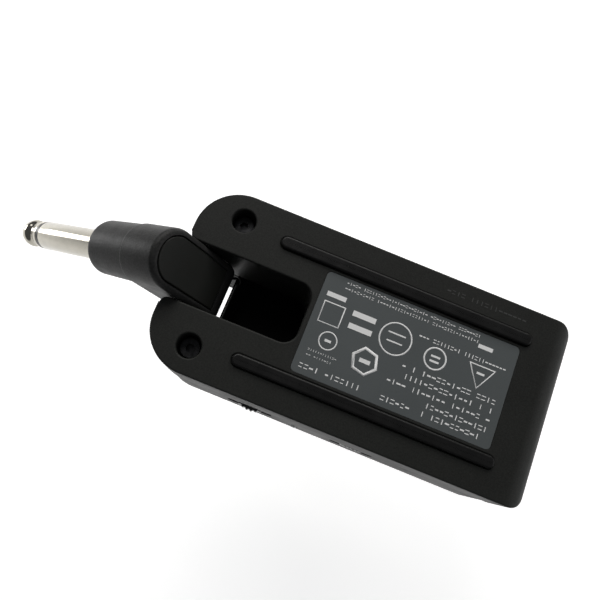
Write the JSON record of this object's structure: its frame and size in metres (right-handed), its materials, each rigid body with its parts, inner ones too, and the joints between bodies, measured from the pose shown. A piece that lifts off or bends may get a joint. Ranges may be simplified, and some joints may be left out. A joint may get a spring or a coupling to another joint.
{
  "type": "plug-in guitar headphone amplifier",
  "caption": "Pocket headphone amplifier that plugs into a guitar, with a swivelling quarter-inch jack plug, two-lobed body, thumbwheel, slider and push buttons.",
  "frame": {"origin": "seat of the jack plug: centre of the boot's front end on the plug's axis, with the arm at its rest angle", "axes": "+X along the body from the plug end to the far end, +Y across the body to the button side, +Z out of the labelled back face"},
  "size_m": [0.1198, 0.0391, 0.0375],
  "materials": {
    "matte_shell": "fine matt texture",
    "gloss_shell": "satin gloss",
    "label_film": "printed film",
    "strip_rubber": "smooth rubber",
    "plug_nickel": "polished nickel plate",
    "black_nylon": "moulded nylon",
    "dark_steel": "blackened",
    "bright_steel": "satin",
    "pale_nylon": "moulded nylon",
    "lead_sheath": "smooth sheath",
    "circuit_board": "solder resist",
    "battery_foil": "laminated foil",
    "foam": "foam",
    "control_plastic": "satin",
    "clear_lens": "frosted"
  },
  "bodies": {
    "body": {"back_shell": "matte_shell", "front_shell": "gloss_shell", "rating_label": "label_film", "foot_strip_left": "strip_rubber", "foot_strip_right": "strip_rubber", "cover_screws": "dark_steel", "hinge_axle": "bright_steel", "axle_clips": "dark_steel", "friction_washers": "pale_nylon", "body_leads": "lead_sheath", "main_board": "circuit_board", "board_chips": "black_nylon", "shield_can": "bright_steel", "chip_antenna": "pale_nylon", "battery_cell": "battery_foil", "battery_pad": "foam", "battery_leads": "lead_sheath", "battery_connector": "pale_nylon", "usb_socket": "bright_steel", "usb_tongue": "black_nylon", "headphone_jack": "black_nylon", "volume_pot": "bright_steel", "slide_switch": "bright_steel", "power_lens": "clear_lens", "status_lenses": "clear_lens", "status_leds": "clear_lens", "button_board": "circuit_board", "tact_switches": "bright_steel"},
    "arm": {"swivel_arm": "gloss_shell", "arm_cover": "gloss_shell", "plug_boot": "matte_shell", "plug_sleeve": "plug_nickel", "tip_insulator": "black_nylon", "plug_tip": "plug_nickel", "axle_bushes": "pale_nylon", "arm_leads": "lead_sheath"},
    "wheel": {"volume_wheel": "control_plastic"},
    "slider": {"power_slider": "control_plastic"},
    "voice_down_key": {"voice_down_button": "control_plastic"},
    "voice_up_key": {"voice_up_button": "control_plastic"},
    "tone_down_key": {"tone_down_button": "control_plastic"},
    "tone_up_key": {"tone_up_button": "control_plastic"},
    "effect_down_key": {"effect_down_button": "control_plastic"},
    "effect_up_key": {"effect_up_button": "control_plastic"},
    "level_down_key": {"level_down_button": "control_plastic"},
    "level_up_key": {"level_up_button": "control_plastic"}
  },
  "joints": [
    {"name": "plug_swivel", "type": "hinge", "parent": "body", "child": "arm", "pos_m": [0.02112, 0, -0.00111], "axis": [0, 1, 0], "range_deg": [-143, 127]},
    {"name": "volume_turn", "type": "hinge", "parent": "body", "child": "wheel", "pos_m": [0.03932, -0.014, -0.01021], "axis": [0, 0, 1], "range_deg": [-150, 150]},
    {"name": "power_slide", "type": "slide", "parent": "body", "child": "slider", "axis": [1, 0, 0], "range_m": [-0.002, 0.002]},
    {"name": "voice_down_press", "type": "slide", "parent": "body", "child": "voice_down_key", "axis": [0, -1, 0], "range_m": [0, 0.0004], "stiffness_N_per_m": 1000, "springref_m": -0.0003},
    {"name": "voice_up_press", "type": "slide", "parent": "body", "child": "voice_up_key", "axis": [0, -1, 0], "range_m": [0, 0.0004], "stiffness_N_per_m": 1000, "springref_m": -0.0003},
    {"name": "tone_down_press", "type": "slide", "parent": "body", "child": "tone_down_key", "axis": [0, -1, 0], "range_m": [0, 0.0004], "stiffness_N_per_m": 1000, "springref_m": -0.0003},
    {"name": "tone_up_press", "type": "slide", "parent": "body", "child": "tone_up_key", "axis": [0, -1, 0], "range_m": [0, 0.0004], "stiffness_N_per_m": 1000, "springref_m": -0.0003},
    {"name": "effect_down_press", "type": "slide", "parent": "body", "child": "effect_down_key", "axis": [0, -1, 0], "range_m": [0, 0.0004], "stiffness_N_per_m": 1000, "springref_m": -0.0003},
    {"name": "effect_up_press", "type": "slide", "parent": "body", "child": "effect_up_key", "axis": [0, -1, 0], "range_m": [0, 0.0004], "stiffness_N_per_m": 1000, "springref_m": -0.0003},
    {"name": "level_down_press", "type": "slide", "parent": "body", "child": "level_down_key", "axis": [0, -1, 0], "range_m": [0, 0.0004], "stiffness_N_per_m": 1000, "springref_m": -0.0003},
    {"name": "level_up_press", "type": "slide", "parent": "body", "child": "level_up_key", "axis": [0, -1, 0], "range_m": [0, 0.0004], "stiffness_N_per_m": 1000, "springref_m": -0.0003}
  ]
}
